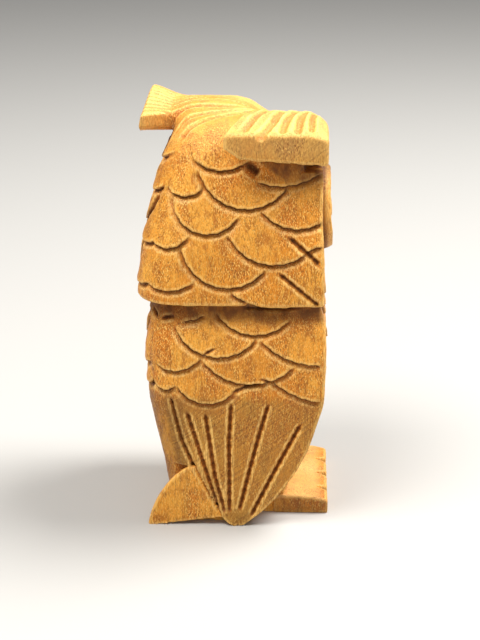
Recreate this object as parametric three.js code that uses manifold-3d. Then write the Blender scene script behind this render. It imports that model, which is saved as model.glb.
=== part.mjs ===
// A hand-carved wooden owl, worked cornerwise from one square stick of timber.
// Millimetres, +Z up, the owl faces -Y and stands on the plane z = 0.
// The pieces are designed in the stick's own frame: u along the right-back face, v along
// the left-back face, both measured from the stick's axis. The owl's back is the corner
// (-u, -v), its face the corner (+u, +v), and its ears are on the other two corners.
import * as THREE from "three";
import { mergeVertices } from "three/addons/utils/BufferGeometryUtils.js";
import Module from "manifold-3d";

const wasm = await Module();
wasm.setup();

// driving sizes
const HALF = 25; // half the side of the stick
const GAP = 0.3; // clearance between neighbouring carved regions
const NECK_Z = 63; // underside of the head's overhanging rim
const BROW_Z = 101; // lower edge of the crown and the ear tufts
const CROWN_TOP_Z = 113; // highest point of the crown
const FOOT_HEIGHT = 5;
const WING_THICKNESS = 4;
const FAR = 60; // well outside the stick, for cutting tools
const CORNER_STEPS = 5; // facets of each rounded corner
const CURVE_STEPS = 12; // facets of each curved stretch of an outline
const EYE_STEPS = 40; // facets round an eye
const MIRROR = new THREE.Matrix4().set(0, 1, 0, 0, 1, 0, 0, 0, 0, 0, 1, 0, 0, 0, 0, 1);

// head: how far each pair of faces stands from the axis at each height
const HEAD_LEVELS = [
  { z: NECK_Z, near: 23.6, left: 23.6, front: 23.4, back: 10 },
  { z: NECK_Z + 2, near: 24.8, left: 24.8, front: 24.4, back: 10 },
  { z: 78, near: 23.4, left: 23.4, front: 24.4, back: 11 },
  { z: 90, near: 20.6, left: 20.6, front: 24.2, back: 12 },
  { z: BROW_Z - GAP, near: 18.4, left: 18.4, front: 23.6, back: 12 },
];
// body: the right wing stays near the stick's face, the left one leans in at the bottom
const BODY_LEVELS = [
  { z: 0, near: 25.8, left: 20, front: 12, back: 9 },
  { z: FOOT_HEIGHT + GAP, near: 25.6, left: 20.2, front: 12, back: 9 },
  { z: FOOT_HEIGHT + 2 * GAP, near: 25.6, left: 20.2, front: 15, back: 9 },
  { z: 20, near: 25.2, left: 21.6, front: 20, back: 11 },
  { z: 37, near: 24.8, left: 24, front: 25, back: 11 },
  { z: 50, near: 24.4, left: 23.4, front: 25, back: 11 },
  { z: NECK_Z - GAP, near: 22.6, left: 21.6, front: 23.2, back: 11 },
];
// crown: a low dome behind the brows
const CROWN_LEVELS = [
  { z: BROW_Z, near: 18.4, left: 18.4, front: 20, back: 12 },
  { z: 105, near: 17.4, left: 17.4, front: 17, back: 12 },
  { z: 109, near: 14.6, left: 14.6, front: 12, back: 12 },
  { z: 112, near: 10, left: 10, front: 7, back: 9 },
  { z: CROWN_TOP_Z, near: 5, left: 5, front: 3, back: 5 },
];

// right wing, as seen from outside: u across, z up, from the neck to the tip on the ground
const FAN_EDGE = [
  [26, 35],
  [22, 23.7],
  [17, 13.8],
  [11.8, 6.9],
  [7, 2],
  [3.6, -1],
];
const WING_OUTLINE = [
  [-FAR, NECK_Z],
  [26, NECK_Z],
  ...FAN_EDGE,
  [-1.8, -1],
  [-6, 6.5],
  [-11, 16],
  [-14.5, 26],
  [-17.5, 38],
  [-FAR, 41],
];

// right ear tuft and brow: its section across the face, v across and z up
const TUFT_SECTION = [
  [-HALF, BROW_Z + 1],
  [-HALF, 108.4],
  [-22, 109.8],
  [-12, 109.8],
  [0, 107.8],
  [10, 105.4],
  [19, BROW_Z + 1],
  [19, BROW_Z],
  [-18, BROW_Z],
];
const TUFT_ROLL = 2; // height above the brow's lower edge from which a tuft's top climbs
const TUFT_END = HALF + 0.4;
const RIGHT_TUFT = { start: 0.5, rise: 0 }; // where it starts along the face, and its climb per millimetre
const LEFT_TUFT = { start: 9, rise: 0.1 };
const BROW_ROOT = 16; // where both brows meet above the beak, on u = v
const TUFT_HEEL = -18; // where a tuft's end leaves its slanting line along the brow

const LEG_CUT = { top: 36, depth: -16 };

// tail: its side profile on the near face, u across and z up, and its taper backwards
const TAIL = {
  inner: -4,
  shoulder: 9.6, // height where the tail's top meets the wing
  top: { u: -12.5, z: 17.4 },
  bend: { u: -20.6, z: 10.8 }, // pull of the rounded back edge
  toe: -22.6,
  near: 24.6,
  depth: 14,
  taper: 0.25,
};

// feet: a slab under each front face, with toes cut into its outer edge
const FOOT = { inner: 12 + GAP, outer: 26.6, near: -16.5, far: 19 };
const TOE_NOTCH = { depth: 3, width: 1.6, places: [-10, 0, 10] };

// face
const EYE = { along: 5, z: 83, radius: 11.6 };
const EYE_PROFILE = [
  [0, 0],
  [EYE.radius, 0],
  [EYE.radius, 1.1],
  [EYE.radius - 1, 1.7],
  [EYE.radius - 2.4, 0.9],
  [4.6, 0.9],
  [4.2, 1.8],
  [0, 2],
];
// beak: its side profile, as reach out of the flat between the eyes against height
const BEAK = {
  chamfer: 41, // where that flat cuts the head's front faces, measured along u or v
  width: 8,
  tipShare: 0.3, // the width at the tip, as a share of the width at the brow
  bottom: 71,
  tip: 1.2,
  hook: { reach: 4.8, z: 74 },
  bill: { reach: 4.8, z: 79 },
  bridge: { reach: 4.3, z: 87 },
  top: 93,
};

const material = (color, roughness) => new THREE.MeshStandardMaterial({ color, roughness, metalness: 0 });
const PALE = material(0xd9a860, 0.6);
const GOLDEN = material(0xc08a44, 0.65);
const TAWNY = material(0xa8743a, 0.7);

// A three.js geometry as a manifold solid, and back.
function solid(geometry) {
  const bare = geometry.clone();
  bare.deleteAttribute("normal");
  bare.deleteAttribute("uv");
  const merged = mergeVertices(bare, 1e-4);
  const mesh = new wasm.Mesh({
    numProp: 3,
    vertProperties: new Float32Array(merged.attributes.position.array),
    triVerts: new Uint32Array(merged.index.array),
  });
  return new wasm.Manifold(mesh);
}

function geometryOf(body) {
  const mesh = body.getMesh();
  const geometry = new THREE.BufferGeometry();
  geometry.setAttribute("position", new THREE.BufferAttribute(new Float32Array(mesh.vertProperties), 3));
  geometry.setIndex(new THREE.BufferAttribute(new Uint32Array(mesh.triVerts), 1));
  const flat = geometry.toNonIndexed();
  flat.computeVertexNormals();
  return flat;
}

// The same shape on the owl's other side: u and v change places.
function mirrored(geometry) {
  const copy = geometry.clone().applyMatrix4(MIRROR);
  const index = Array.from(copy.index ? copy.index.array : copy.attributes.position.array.keys());
  const count = copy.index ? index.length : copy.attributes.position.count;
  const turned = [];
  for (let i = 0; i < count; i += 3) {
    turned.push(index[i], index[i + 2], index[i + 1]);
  }
  copy.setIndex(turned);
  return copy;
}

function swapped(body) {
  return solid(mirrored(geometryOf(body)));
}

// Level outline of the stick with its back corner well rounded and the others eased.
function levelOutline({ near, left, front, back }) {
  const corners = [
    { u: -left, v: -near, radius: back, start: Math.PI },
    { u: front, v: -near, radius: 1, start: 1.5 * Math.PI },
    { u: front, v: front, radius: Math.min(4, front / 3), start: 0 },
    { u: -left, v: front, radius: 1, start: 0.5 * Math.PI },
  ];
  return corners.flatMap(({ u, v, radius, start }) => {
    const centreU = u - Math.sign(u) * radius;
    const centreV = v - Math.sign(v) * radius;
    return Array.from({ length: CORNER_STEPS + 1 }, (_, step) => {
      const angle = start + (step / CORNER_STEPS) * (Math.PI / 2);
      return [centreU + radius * Math.cos(angle), centreV + radius * Math.sin(angle)];
    });
  });
}

// A closed skin through level outlines, lowest first, all with the same number of points.
function loft(levels) {
  const rings = levels.map((level) => levelOutline(level).map(([u, v]) => [u, v, level.z]));
  const size = rings[0].length;
  const points = rings.flat();
  const faces = [];
  for (let ring = 0; ring + 1 < rings.length; ring++) {
    for (let i = 0; i < size; i++) {
      const a = ring * size + i;
      const b = ring * size + ((i + 1) % size);
      faces.push(a, b, b + size, a, b + size, a + size);
    }
  }
  const top = (rings.length - 1) * size;
  for (let i = 1; i + 1 < size; i++) {
    faces.push(0, i + 1, i);
    faces.push(top, top + i, top + i + 1);
  }
  const geometry = new THREE.BufferGeometry();
  geometry.setAttribute("position", new THREE.Float32BufferAttribute(points.flat(), 3));
  geometry.setIndex(faces);
  return geometry;
}

function shapeOf(points) {
  return new THREE.Shape(points.map(([a, b]) => new THREE.Vector2(a, b)));
}

// A prism on a plan outline (u, v), between two heights.
function planPrism(points, bottom, top) {
  const prism = new THREE.ExtrudeGeometry(shapeOf(points), { depth: top - bottom, bevelEnabled: false });
  return prism.translate(0, 0, bottom);
}

// A prism on an outline seen from outside the near face (u, z), between two depths.
function nearPrism(shape, nearDepth, farDepth) {
  const prism = new THREE.ExtrudeGeometry(shape, {
    depth: farDepth - nearDepth,
    bevelEnabled: false,
    curveSegments: CURVE_STEPS,
  });
  return prism.rotateX(Math.PI / 2).translate(0, farDepth, 0);
}

// The outline moved outwards by a distance, corner by corner; negative moves inwards.
function grown(points, distance) {
  const signedArea = THREE.ShapeUtils.area(points.map(([x, y]) => new THREE.Vector2(x, y)));
  const side = Math.sign(signedArea) * distance;
  return points.map(([x, y], i) => {
    const [beforeX, beforeY] = points.at(i - 1);
    const [afterX, afterY] = points[(i + 1) % points.length];
    const before = new THREE.Vector2(x - beforeX, y - beforeY).normalize();
    const after = new THREE.Vector2(afterX - x, afterY - y).normalize();
    const miter = new THREE.Vector2(before.y + after.y, -before.x - after.x);
    miter.multiplyScalar(side / (1 + before.dot(after)));
    return [x + miter.x, y + miter.y];
  });
}

// Half of the space up to the owl's own plane of symmetry, on the right wing's side.
function rightSide(bottom, top) {
  return planPrism([[-FAR, -FAR - GAP / 2], [FAR, -FAR - GAP / 2], [FAR, FAR - GAP / 2]], bottom, top);
}

function part(name, body, look) {
  const geometry = body.isBufferGeometry ? body : geometryOf(body);
  const mesh = new THREE.Mesh(geometry, look);
  mesh.name = name;
  return mesh;
}

// What is left of the body's tier under a skin of the given thickness on the two back faces.
function core(thickness) {
  const levels = BODY_LEVELS.map(({ z, near, left, front, back }) => ({
    z: z === 0 ? -1 : z,
    near: near - thickness,
    left: left - thickness,
    front: front + thickness,
    back: back - thickness / 2,
  }));
  levels.push({ ...levels.at(-1), z: NECK_Z + 1 });
  return solid(loft(levels));
}

// The space of the right and of the left wing, with a clearance around them.
function wingSpaces(clearance) {
  const blank = nearPrism(shapeOf(grown(WING_OUTLINE, clearance)), -FAR, 0);
  const inside = core(WING_THICKNESS + clearance);
  return [blank, mirrored(blank)].map((side) => solid(side).subtract(inside));
}

// The room in front of each wing's fan, where the body is cut back above the foot.
function legCuts() {
  const outline = [[FAR, LEG_CUT.top], [HALF, LEG_CUT.top], ...FAN_EDGE, [FAR, -1]];
  const blank = nearPrism(shapeOf(outline), -FAR, LEG_CUT.depth);
  return [solid(blank), solid(mirrored(blank))];
}

function wings() {
  const envelope = solid(loft(BODY_LEVELS));
  const half = rightSide(-1, NECK_Z + 1);
  const [rightSpace, leftSpace] = wingSpaces(0);
  const right = envelope.intersect(rightSpace).intersect(solid(half));
  const left = envelope.intersect(leftSpace).intersect(solid(mirrored(half)));
  return [part("right_wing", right, GOLDEN), part("left_wing", left, GOLDEN)];
}

function tailBlank(clearance) {
  const { inner, shoulder, top, bend, toe, near, depth, taper } = TAIL;
  const profile = new THREE.Shape();
  profile.moveTo(inner + clearance, -1);
  profile.lineTo(toe - clearance, -1);
  profile.lineTo(toe - clearance, 0);
  profile.quadraticCurveTo(bend.u - clearance, bend.z, top.u, top.z + clearance);
  profile.lineTo(inner + clearance, shoulder + clearance);
  const blank = nearPrism(profile, -near - clearance, depth - near + clearance);
  const position = blank.attributes.position;
  for (let i = 0; i < position.count; i++) {
    const behind = position.getY(i) + near;
    position.setX(i, position.getX(i) + taper * behind);
  }
  return blank;
}

function body() {
  const cuts = [...wingSpaces(GAP), ...legCuts(), solid(tailBlank(GAP))];
  return cuts.reduce((block, cut) => block.subtract(cut), solid(loft(BODY_LEVELS)));
}

function tail() {
  const [rightSpace, leftSpace] = wingSpaces(GAP);
  const aboveGround = solid(new THREE.BoxGeometry(FAR, FAR, FAR).translate(-FAR / 2, -FAR / 2, FAR / 2));
  return solid(tailBlank(0))
    .intersect(aboveGround)
    .subtract(rightSpace)
    .subtract(leftSpace);
}

function footPlan() {
  const { inner, outer, near, far } = FOOT;
  const edge = TOE_NOTCH.places.flatMap((place) => [
    [outer, place - TOE_NOTCH.width],
    [outer - TOE_NOTCH.depth, place],
    [outer, place + TOE_NOTCH.width],
  ]);
  return [[inner, near], [outer, near], ...edge, [outer, far], [far + GAP, far], [inner + GAP, inner]];
}

function feet() {
  const right = planPrism(footPlan(), 0, FOOT_HEIGHT);
  return [part("right_foot", right, PALE), part("left_foot", mirrored(right), PALE)];
}

function head() {
  const { chamfer } = BEAK;
  const corner = planPrism([[chamfer, 0], [FAR, 0], [FAR, FAR], [0, FAR], [0, chamfer]], 0, FAR * 2);
  return solid(loft(HEAD_LEVELS)).subtract(solid(corner));
}

function tuftBlank({ start, rise }, clearance) {
  const shape = shapeOf(grown(TUFT_SECTION, clearance));
  const depth = TUFT_END - start + 2 * clearance;
  const bar = new THREE.ExtrudeGeometry(shape, { depth, bevelEnabled: false });
  bar.applyMatrix4(new THREE.Matrix4().set(0, 0, 1, start - clearance, 1, 0, 0, 0, 0, 1, 0, 0, 0, 0, 0, 1));
  const position = bar.attributes.position;
  for (let i = 0; i < position.count; i++) {
    const above = position.getZ(i) - BROW_Z;
    if (above > TUFT_ROLL) {
      position.setZ(i, position.getZ(i) + rise * position.getX(i));
    }
  }
  const plan = [
    [start, -FAR],
    [FAR, -FAR],
    [FAR, BROW_ROOT],
    [BROW_ROOT + GAP, BROW_ROOT],
    [start, TUFT_HEEL],
  ];
  const wedge = planPrism(grown(plan, clearance), 0, FAR * 2);
  return solid(bar).intersect(solid(wedge));
}

function browsAndCrown() {
  const right = tuftBlank(RIGHT_TUFT, 0);
  const left = swapped(tuftBlank(LEFT_TUFT, 0));
  const crown = solid(loft(CROWN_LEVELS))
    .subtract(tuftBlank(RIGHT_TUFT, GAP))
    .subtract(swapped(tuftBlank(LEFT_TUFT, GAP)));
  return [
    part("right_ear_tuft", right, PALE),
    part("left_ear_tuft", left, PALE),
    part("crown", crown, PALE),
  ];
}

function eyes() {
  const profile = EYE_PROFILE.map(([radius, height]) => new THREE.Vector2(radius, height));
  const disc = new THREE.LatheGeometry(profile, EYE_STEPS);
  const face = HEAD_LEVELS[1].front + GAP;
  const right = disc.rotateZ(-Math.PI / 2).translate(face, EYE.along, EYE.z);
  return [part("right_eye", right, GOLDEN), part("left_eye", mirrored(right), GOLDEN)];
}

function beak() {
  const { chamfer, width, tipShare, bottom, tip, hook, bill, bridge, top } = BEAK;
  const backFace = chamfer / Math.SQRT2 + GAP;
  const side = new THREE.Shape();
  side.moveTo(backFace, bottom);
  side.lineTo(backFace + tip, bottom);
  side.quadraticCurveTo(backFace + hook.reach, hook.z, backFace + bill.reach, bill.z);
  side.quadraticCurveTo(backFace + bridge.reach, bridge.z, backFace, top);
  const blank = new THREE.ExtrudeGeometry(side, {
    depth: width,
    bevelEnabled: false,
    curveSegments: CURVE_STEPS,
  });
  blank.translate(0, 0, -width / 2);
  const position = blank.attributes.position;
  for (let i = 0; i < position.count; i++) {
    const rise = (position.getY(i) - bottom) / (top - bottom);
    position.setZ(i, position.getZ(i) * (tipShare + (1 - tipShare) * rise));
  }
  return blank.rotateX(Math.PI / 2).rotateZ(Math.PI / 4);
}

const owl = new THREE.Group();
owl.rotation.z = (5 / 4) * Math.PI; // the stick's frame to the owl's own: the face corner turns to -Y
owl.add(part("head", head(), GOLDEN));
owl.add(...browsAndCrown());
owl.add(part("beak", beak(), TAWNY));
owl.add(...eyes());
owl.add(part("body", body(), TAWNY));
owl.add(...wings());
owl.add(part("tail", tail(), TAWNY));
owl.add(...feet());

export default owl;
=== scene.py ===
# A hand-carved wooden owl, for Blender 4.5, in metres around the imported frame.
# The owl is one carved block. Its shape is a field, negative inside the wood, sampled on a
# grid in the stick's own frame (millimetres: u along the right-back face, v along the
# left-back face, z up), relief and gouge cuts included. The field is then parted along
# carved lines into one closed mesh for each node of the frame.
import functools
import math
from types import SimpleNamespace

import bpy
import numpy as np
import openvdb
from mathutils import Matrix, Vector


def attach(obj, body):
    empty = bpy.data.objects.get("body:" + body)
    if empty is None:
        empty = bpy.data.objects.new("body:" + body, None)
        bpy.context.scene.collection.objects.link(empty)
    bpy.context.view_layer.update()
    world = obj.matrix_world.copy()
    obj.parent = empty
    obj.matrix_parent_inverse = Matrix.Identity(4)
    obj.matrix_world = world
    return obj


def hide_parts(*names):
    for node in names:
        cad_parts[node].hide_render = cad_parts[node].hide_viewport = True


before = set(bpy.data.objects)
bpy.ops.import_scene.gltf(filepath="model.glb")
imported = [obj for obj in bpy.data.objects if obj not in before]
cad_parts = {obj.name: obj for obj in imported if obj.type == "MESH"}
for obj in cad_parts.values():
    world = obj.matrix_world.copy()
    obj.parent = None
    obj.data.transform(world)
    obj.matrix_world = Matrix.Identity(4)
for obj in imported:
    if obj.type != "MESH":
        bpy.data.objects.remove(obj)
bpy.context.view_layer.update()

MM = 0.001
GRID = 0.35  # spacing of the field's samples, mm
BAND = 3.0  # how far from the surface the relief is worked out, mm
OUTSIDE = 3.0  # the field's value far from the wood, mm
STICK = 25.0  # half the side of the square stick, mm
NECK_Z = 62.8  # height of the neck line, mm
SHARP_ANGLE = 55.0  # edges that bend by more than this are shaded sharp, degrees
RIDGE_WIDTH = 0.5  # the size of ridge or hollow that shows as worn, or as painted shade in a hollow, mm
RIDGE_HEIGHT = 0.14  # how far such a ridge stands out, mm
HILLS = (6.5, 0.16)  # size and height of the knife's broad facets, mm
CHIPS = (1.7, 0.05)  # size and height of small unevenness, mm
WANDER = (9.0, 0.5), (11.0, 0.6)  # the left pattern's drift across and up: size, reach, mm
FRONT_START = 50.0  # where the side pattern's front half has its zero, mm
SEED = 20

TUFTS = ("right_tuft", "left_tuft")
FEET = ("right_foot", "left_foot")


# ---- small tools ----

def smoothstep(low, high, x):
    t = np.clip((x - low) / (high - low), 0.0, 1.0)
    return t * t * (3.0 - 2.0 * t)


def greatest(*fields):
    return functools.reduce(np.maximum, fields)


def round_max(a, b, radius):
    """The greater of two fields, with the edge between them rounded."""
    inner = np.maximum(a, b)
    both = np.hypot(np.maximum(a + radius, 0.0), np.maximum(b + radius, 0.0)) - radius
    return np.where((a > -radius) & (b > -radius), both, inner)


def soft_min(a, b, width):
    """The union of two fields, with the valley between them filled."""
    h = np.maximum(width - np.abs(a - b), 0.0) / width
    return np.minimum(a, b) - h * h * width * 0.25


def profile(z, points, blur):
    """A smoothed run of straight lines through (z, value) points."""
    heights, values = zip(*points)
    fine = np.arange(-40.0, 130.0, 0.25)
    line = np.interp(fine, heights, values)
    kernel = np.hanning(max(3, int(2 * blur / 0.25) | 1))
    padded = np.pad(line, len(kernel) // 2, mode="edge")
    line = np.convolve(padded, kernel / kernel.sum(), mode="valid")
    return np.interp(z, fine, line).astype(np.float32)


def waves(points, size, seed):
    """Smooth random undulation of about -1 to 1, with hills of the given size."""
    lattice = np.random.default_rng(seed).uniform(-1.0, 1.0, (24, 24, 24))
    p = np.asarray(points) / size + 400.0
    cell = np.floor(p).astype(int)
    t = p - cell
    t = t * t * (3.0 - 2.0 * t)
    total = np.zeros(len(p))
    for corner in np.ndindex(2, 2, 2):
        i, j, k = ((cell + corner) % 24).T
        weight = np.prod(np.where(np.array(corner) == 1, t, 1.0 - t), axis=1)
        total += weight * lattice[i, j, k]
    return total


# ---- the block: plain shapes ----

# Distances of the stick's worked faces from its axis, as (z, distance).
HEAD_BACK = [(62, 24.9), (66, 25.0), (78, 23.6), (90, 20.8), (101, 18.4), (110, 17.0)]
HEAD_LEFT = [(62, 24.9), (66, 25.0), (78, 23.6), (90, 20.9), (96, 19.4), (101, 17.2),
             (105, 15.6), (112, 15.0)]
HEAD_FRONT = [(62, 24.9), (70, 24.9), (78, 24.6), (84, 24.1), (100, 24.0), (110, 22.4)]
BODY_NEAR = [(0, 25.3), (20, 25.0), (37, 24.7), (50, 24.4), (56, 23.2), (60, 21.6), (63, 20.4)]
BODY_LEFT = [(0, 16.8), (8, 17.2), (16, 18.4), (27, 20.8), (35, 22.6), (50, 23.2),
             (57, 22.4), (63, 20.8)]
BODY_FRONT = [(0, 12.0), (6, 15.0), (20, 20.5), (36, 25.4), (50, 25.7), (57, 25.4), (63, 23.8)]
# The wing's lower edge towards the leg and towards the tail, as (z, place along the face).
FAN_EDGE = [(-1, 2.6), (0, 3.4), (0.6, 4.6), (3.6, 8.1), (7.9, 12.2), (16.5, 18.3),
            (24.5, 22.3), (33.2, 24.8), (36.5, 26.5)]
WING_EDGE = [(0, 1.0), (0.5, 0.2), (1.4, -1.0), (2.6, -2.0), (6.6, -4.6), (15.8, -9.0),
             (24.5, -12.8), (37.6, -16.2), (38.9, -18.2), (39.6, -20.5), (41.5, -24.0)]
# The beak's ridge from the stick's axis, and its half width, as (z, distance).
BEAK_REACH = [(69, 29.8), (71, 33.0), (74, 34.0), (80, 33.6), (88, 32.2), (94, 30.6), (97, 29.0)]
BEAK_WIDTH = [(69, 0.9), (72, 1.7), (76, 2.9), (83, 4.3), (90, 5.0), (96, 4.2)]
HEAD_TOP = 98.0
CROWN_BOTTOM = 96.0
FAN_TOP = 37.0
LEG_FACE = -16.0  # where the legs' near faces stand, across the stick
BACK_RADIUS = 11.0  # rounding of the stick's corners
HEAD_FRONT_RADIUS = 9.0
BODY_FRONT_RADIUS = 7.0
WING_DEPTH = 4.0  # thickness of the wood that counts as wing
FOOT_INNER = 12.0  # the foot's reach along the stick's face
FOOT_OUTER = 26.9
FOOT_NEAR = -16.4  # and across it
FOOT_FAR = 19.5
FOOT_HEIGHT = 5.0
TOE_NOTCHES = (-8.5, 1.0, 10.5)
TAIL_FACE = 25.1  # distance of the tail's flat near face from the axis
TAIL_START = -9.0  # where the tail's outline begins along the face
TAIL_LENGTH = 13.3
TAIL_HEIGHT = 18.0
TAIL_ROUNDING = 1.55  # 1 is a straight slope, 2 a quarter of an ellipse


def stick(u, v, near, left, front, back_radius, front_radius):
    """A length of the stick whose four faces stand at the given distances from its axis."""
    edges = [
        round_max(-v - near, -u - left, back_radius),
        round_max(-v - near, u - front, 0.6),
        round_max(u - front, v - front, front_radius),
        round_max(v - front, -u - left, 0.6),
    ]
    return greatest(*edges)


def head_field(u, v, z):
    back = profile(z, HEAD_BACK, 4.0)
    left = profile(z, HEAD_LEFT, 3.0)
    front = profile(z, HEAD_FRONT, 3.0)
    sides = stick(u, v, back, left, front, BACK_RADIUS, HEAD_FRONT_RADIUS)
    rim = NECK_Z - z + 0.35 * np.maximum(sides + 2.4, 0.0)
    return np.maximum(round_max(sides, rim, 0.5), z - HEAD_TOP)


def crown_top(u, v):
    front = (u + v) / math.sqrt(2.0)
    back_fall = 0.018 * np.maximum(-3.0 - front, 0.0) ** 2
    front_fall = 0.22 * np.maximum(front - 5.0, 0.0) ** 1.25
    return 110.0 - back_fall - front_fall


def crown_field(u, v, z):
    back = profile(z, HEAD_BACK, 4.0)
    left = profile(z, HEAD_LEFT, 3.0)
    sides = stick(u, v, back, left, 19.0, BACK_RADIUS, 5.0)
    dome = (z - crown_top(u, v)) * 0.9
    return np.maximum(round_max(sides, dome, 5.0), CROWN_BOTTOM - z)


BROW_MEET = 15.5  # where the brows meet above the beak, on u = v
# Heights of the tufts' undersides and tops, from the back to the front, as (place, z).
TUFT_BOTTOM = [(-26, 102.2), (-6, 101.4), (6, 99.0), (22, 93.5)]
RIGHT_TUFT_TOP = [(-26, 108.9), (-22, 110.4), (-15, 112.2), (-8, 112.0), (0, 110.0),
                  (10, 107.0), (20, 103.6)]
LEFT_TUFT_TOP = [(-26, 109.2), (-22, 109.2), (-15, 109.2), (-8, 109.4), (0, 109.4),
                 (4, 108.4), (9, 105.0), (14, 103.8), (20, 102.6)]
RIGHT_TUFT_START = -1.4  # how far along the stick's face each tuft begins
LEFT_TUFT_START = -1.0
LEFT_TUFT_LIFT = 1.5  # how much higher the left tuft's underside is


def right_tuft_top(u, v):
    """The right tuft's top, which rolls over towards the stick's corner."""
    roll = 0.09 * np.maximum(u - 19.0, 0.0) ** 2 * smoothstep(-34.0, -12.0, v)
    return profile(v, RIGHT_TUFT_TOP, 2.0) - roll


def left_tuft_top(u, v):
    """The left tuft's top, which flares up like a trumpet towards its end."""
    flare = 3.3 * smoothstep(-1.0, 22.0, v) * smoothstep(-13.0, -24.5, u)
    return profile(u, LEFT_TUFT_TOP, 2.0) + flare


def brow_line(u, v, start):
    """Distance from the carved line between crown and brow; negative on the brow's side."""
    along_u, along_v = BROW_MEET - start, BROW_MEET + STICK
    length = np.hypot(along_u, along_v)
    return -((u - start) * along_v - (v + STICK) * along_u) / length


def tuft_start(z, start):
    """Where along the stick a tuft begins: upright above, cut away slantwise below."""
    return start + 1.5 * np.maximum(105.6 - z, 0.0)


def tuft_bottom(u, v, lift):
    return profile(v, TUFT_BOTTOM, 3.0) - 0.06 * (u - 12.0) + lift


def tuft_field(u, v, z, top, start, lift, tilt):
    """The right ear tuft with its brow; the left one is the same with u and v exchanged."""
    end = brow_line(u, v, tuft_start(z, start))
    face = 25.2 - tilt * np.maximum(z - 105.5, 0.0) ** 1.3
    outline = round_max(-v - face, u - 25.3, 1.2)
    ends = np.maximum(round_max(outline, v - 21.5, 2.0), round_max(end, v - 21.5, 1.0))
    shell = round_max(ends, (z - top) * 0.95, 0.9)
    brow_front = (u + v) / math.sqrt(2.0) - 30.5 + 0.35 * np.maximum(z - 101.0, 0.0)
    return round_max(np.maximum(shell, tuft_bottom(u, v, lift) - z), brow_front, 1.2)


def right_tuft_field(u, v, z):
    return tuft_field(u, v, z, right_tuft_top(u, v), RIGHT_TUFT_START, lift=0.0, tilt=0.0)


def left_tuft_field(u, v, z):
    return tuft_field(v, u, z, left_tuft_top(u, v), LEFT_TUFT_START, LEFT_TUFT_LIFT, tilt=0.13)


def body_field(u, v, z):
    """The body from the neck down, the legs cut back beside the wings' fans."""
    near = profile(z, BODY_NEAR, 3.0)
    left = profile(z, BODY_LEFT, 3.0)
    front = profile(z, BODY_FRONT, 3.0)
    block = stick(u, v, near, left, front, BACK_RADIUS, BODY_FRONT_RADIUS)
    edge = profile(z, FAN_EDGE, 1.0)
    beside_right_leg = greatest(edge - u, v - LEG_FACE, z - FAN_TOP)
    beside_left_leg = greatest(edge - v, u - LEG_FACE, z - FAN_TOP)
    block = np.maximum(block, -np.minimum(beside_right_leg, beside_left_leg))
    wing_edge = profile(z, WING_EDGE, 0.5)
    block = np.maximum(block, -greatest(u - wing_edge, v + 22.0, z - 17.2))
    return np.maximum(block, z - NECK_Z - 0.6)


def foot_field(u, v, z):
    """The right foot's slab, with notches between its toes."""
    top = FOOT_HEIGHT + 0.05 * (20.0 - u) - 0.02 * np.maximum(u - 20.0, 0.0) ** 2
    slab = greatest(FOOT_INNER - u, u - FOOT_OUTER, FOOT_NEAR - v, v - FOOT_FAR, v - u - 0.4)
    for place in TOE_NOTCHES:
        notch = (23.9 - u) * 0.7 + np.abs(v - place - 0.1 * (u - 24.0)) * 1.6
        slab = np.maximum(slab, -notch)
    return round_max(slab, z - top, 0.8)


def tail_field(u, v, z):
    """A short rounded tail under the back corner, its near face left flat as sawn."""
    behind = v + TAIL_FACE
    shrink = 0.08 * behind + 0.9 * np.maximum(behind - 2.0, 0.0)
    across = np.maximum(TAIL_START - u, 0.0) / TAIL_LENGTH
    up = np.maximum(z, 0.0) / TAIL_HEIGHT
    reach = (across**TAIL_ROUNDING + up**TAIL_ROUNDING) ** (1.0 / TAIL_ROUNDING)
    swell = (reach - 1.0) * 11.0 + shrink
    inner = u - profile(z, WING_EDGE, 0.5) - 1.0
    under = 0.13 * (u + 20.0) - z
    return greatest(round_max(swell, 0.02 * (u + 22.0) - behind, 0.4), inner, under, v + 12.0)


def beak_field(u, v, z):
    """A hooked beak, narrow at its tip and flat between the eyes."""
    forward = (u + v) / math.sqrt(2.0)
    across = np.abs(u - v) / math.sqrt(2.0)
    reach = profile(z, BEAK_REACH, 1.6)
    width = profile(z, BEAK_WIDTH, 1.6)
    ridge = forward - reach + 0.5 * across**2 / np.maximum(width, 0.8)
    return greatest(round_max(ridge, across - width, 0.6), 24.0 - forward, 69.0 - z, z - 96.0)


def shape_fields(u, v, z):
    """Every plain shape's field, by name, for points or a grid."""
    left_tuft = left_tuft_field(u, v, z)
    blend = 1.0 + 5.0 * smoothstep(103.5, 108.0, z)
    return {
        "head": head_field(u, v, z),
        "crown": soft_min(crown_field(u, v, z), left_tuft + 0.4, blend),
        "right_tuft": right_tuft_field(u, v, z),
        "left_tuft": left_tuft,
        "beak": beak_field(u, v, z),
        "body": body_field(u, v, z),
        "right_foot": foot_field(u, v, z),
        "left_foot": foot_field(v, u, z),
        "tail": tail_field(u, v, z),
    }


# ---- the relief: scales, gouge cuts and eyes ----

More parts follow.
